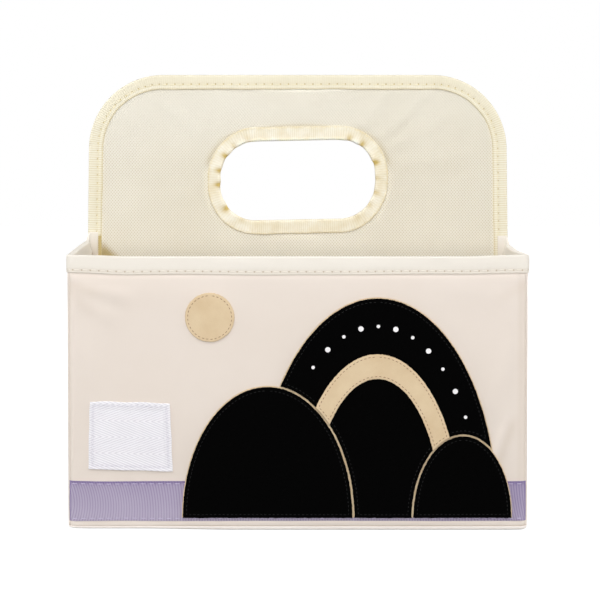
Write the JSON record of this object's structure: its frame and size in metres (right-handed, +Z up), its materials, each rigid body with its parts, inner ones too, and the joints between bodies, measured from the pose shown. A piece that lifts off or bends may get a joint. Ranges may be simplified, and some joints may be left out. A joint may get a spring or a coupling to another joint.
{
  "type": "nappy caddy",
  "caption": "Soft-sided nappy caddy: open bins back to back on one floor, with the stiff divider between them rising into a carrying handle with a taped hand hole.",
  "frame": {"origin": "on the ground under the middle of the floor, in the divider's middle plane", "axes": "+X along the handle, to the right as seen from the decorated front; -Y towards the front; +Z up"},
  "size_m": [0.332, 0.1886, 0.329],
  "materials": {
    "canvas": "plain woven canvas, stiff and matt, natural cream",
    "lining": "thin plain-woven lining, cream",
    "rim_tape": "self-coloured canvas strip folded over the rim, with one row of lockstitches",
    "woven_cover": "dotted Oxford weave in ivory",
    "yellow_tape": "ribbed grosgrain tape, pale yellow",
    "stiffener": "grey board",
    "lavender_ribbon": "ribbed grosgrain ribbon, lavender",
    "label_twill": "white herringbone twill label without any lettering",
    "black_felt": "pressed felt, black, stitched in black",
    "tan_felt": "pressed felt, tan, stitched in red-brown"
  },
  "bodies": {
    "caddy": {"floor_canvas": "canvas", "divider_board": "stiffener", "divider_front_cover": "woven_cover", "divider_rear_cover": "woven_cover", "divider_edge_tape": "yellow_tape", "handle_hole_tape": "yellow_tape", "front_wall_canvas": "canvas", "front_wall_board": "stiffener", "front_wall_lining": "lining", "front_left_gusset_canvas": "canvas", "front_left_gusset_board": "stiffener", "front_left_gusset_lining": "lining", "front_right_gusset_canvas": "canvas", "front_right_gusset_board": "stiffener", "front_right_gusset_lining": "lining", "front_rim_tape": "rim_tape", "rear_wall_canvas": "canvas", "rear_wall_board": "stiffener", "rear_wall_lining": "lining", "rear_left_gusset_canvas": "canvas", "rear_left_gusset_board": "stiffener", "rear_left_gusset_lining": "lining", "rear_right_gusset_canvas": "canvas", "rear_right_gusset_board": "stiffener", "rear_right_gusset_lining": "lining", "rear_rim_tape": "rim_tape", "front_ribbon": "lavender_ribbon", "woven_label": "label_twill", "felt_backing": "tan_felt", "felt_tall_hill": "black_felt", "felt_low_hill": "black_felt", "felt_small_hill": "black_felt", "felt_arch": "tan_felt", "felt_moon": "tan_felt"},
    "front_insert": {"front_floor_board": "stiffener", "front_floor_board_cover": "lining"},
    "rear_insert": {"rear_floor_board": "stiffener", "rear_floor_board_cover": "lining"}
  },
  "joints": [
    {"name": "front_insert_lift", "type": "slide", "parent": "caddy", "child": "front_insert", "axis": [0, 0, 1], "range_m": [0, 0.22]},
    {"name": "rear_insert_lift", "type": "slide", "parent": "caddy", "child": "rear_insert", "axis": [0, 0, 1], "range_m": [0, 0.22]}
  ]
}
